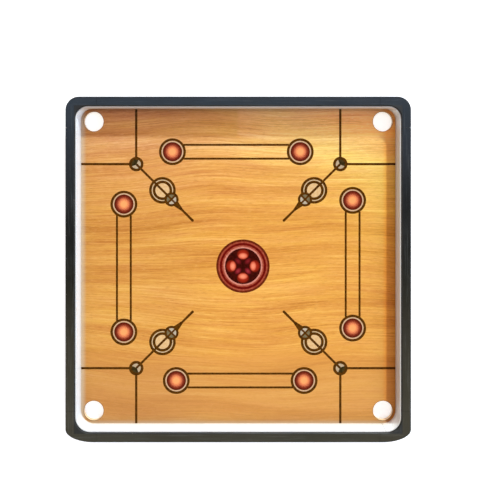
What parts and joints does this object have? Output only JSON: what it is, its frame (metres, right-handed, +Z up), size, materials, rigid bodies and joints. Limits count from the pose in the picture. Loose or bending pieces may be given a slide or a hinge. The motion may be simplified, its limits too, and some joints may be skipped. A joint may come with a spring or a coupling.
{
  "type": "carrom board",
  "caption": "Square carrom board with a rounded black frame, a pale inner cushion strip, a printed wood-grain playing surface and an open pocket in each corner.",
  "frame": {"origin": "centre of the underside, on the surface that the board rests on", "axes": "+Z up out of the playing surface, +Y towards the back of the board, +X to the right"},
  "size_m": [0.5, 0.5, 0.033],
  "materials": {
    "black_lacquer": "black lacquer over wood, semi-gloss, worn at the edges",
    "white_strip": "smooth off-white",
    "printed_film": "glossy printed wood grain with dark markings",
    "plywood": "pale, unfinished",
    "pale_softwood": "planed, unfinished",
    "beech": "turned, unfinished",
    "zinc_plated_steel": "zinc plated"
  },
  "bodies": {
    "root": {"cross_batten_back": "pale_softwood", "cross_batten_front": "pale_softwood", "dowel_back_rail_left_lower": "beech", "dowel_back_rail_left_upper": "beech", "dowel_back_rail_right_lower": "beech", "dowel_back_rail_right_upper": "beech", "dowel_front_rail_left_lower": "beech", "dowel_front_rail_left_upper": "beech", "dowel_front_rail_right_lower": "beech", "dowel_front_rail_right_upper": "beech", "dowel_left_rail_left_lower": "beech", "dowel_left_rail_left_upper": "beech", "dowel_left_rail_right_lower": "beech", "dowel_left_rail_right_upper": "beech", "dowel_right_rail_left_lower": "beech", "dowel_right_rail_left_upper": "beech", "dowel_right_rail_right_lower": "beech", "dowel_right_rail_right_upper": "beech", "frame_corner_back_left": "black_lacquer", "frame_corner_back_right": "black_lacquer", "frame_corner_front_left": "black_lacquer", "frame_corner_front_right": "black_lacquer", "frame_rail_back": "black_lacquer", "frame_rail_front": "black_lacquer", "frame_rail_left": "black_lacquer", "frame_rail_right": "black_lacquer", "ledge_batten_back": "pale_softwood", "ledge_batten_front": "pale_softwood", "ledge_batten_left": "pale_softwood", "ledge_batten_right": "pale_softwood", "ledge_screw_back_1": "zinc_plated_steel", "ledge_screw_back_2": "zinc_plated_steel", "ledge_screw_back_3": "zinc_plated_steel", "ledge_screw_front_1": "zinc_plated_steel", "ledge_screw_front_2": "zinc_plated_steel", "ledge_screw_front_3": "zinc_plated_steel", "ledge_screw_left_1": "zinc_plated_steel", "ledge_screw_left_2": "zinc_plated_steel", "ledge_screw_left_3": "zinc_plated_steel", "ledge_screw_right_1": "zinc_plated_steel", "ledge_screw_right_2": "zinc_plated_steel", "ledge_screw_right_3": "zinc_plated_steel", "playing_board_core": "plywood", "playing_film": "printed_film", "rebound_strip": "white_strip"}
  },
  "joints": []
}
